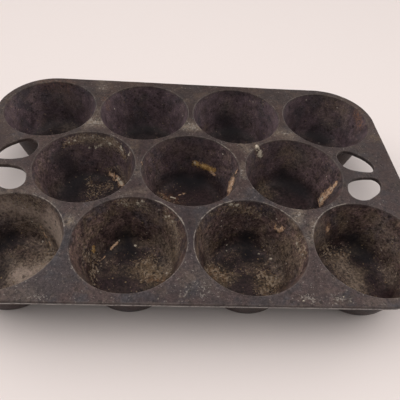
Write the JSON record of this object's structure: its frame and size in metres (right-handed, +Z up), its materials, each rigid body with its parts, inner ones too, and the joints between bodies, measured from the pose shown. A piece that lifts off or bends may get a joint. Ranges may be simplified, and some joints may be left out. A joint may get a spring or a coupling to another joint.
{
  "type": "muffin tin",
  "caption": "Cast-iron muffin pan: a flat deck with round corners carries tapered flat-bottomed cups in staggered rows, with paired finger openings at each end.",
  "frame": {"origin": "on the resting plane, under the centre of the middle cup", "axes": "+X along the long side towards the right-hand grip, +Y towards the back row, +Z up out of the cups"},
  "size_m": [0.2828, 0.1946, 0.038],
  "materials": {
    "seasoned_iron": "old seasoning, matte to satin, with dusty patches and tan residue in the cups"
  },
  "bodies": {
    "root": {"deck": "seasoned_iron", "grip_left": "seasoned_iron", "rib_left": "seasoned_iron", "grip_right": "seasoned_iron", "rib_right": "seasoned_iron", "cup_back_1": "seasoned_iron", "cup_back_2": "seasoned_iron", "cup_back_3": "seasoned_iron", "cup_back_4": "seasoned_iron", "cup_middle_1": "seasoned_iron", "cup_middle_2": "seasoned_iron", "cup_middle_3": "seasoned_iron", "cup_front_1": "seasoned_iron", "cup_front_2": "seasoned_iron", "cup_front_3": "seasoned_iron", "cup_front_4": "seasoned_iron"}
  },
  "joints": []
}
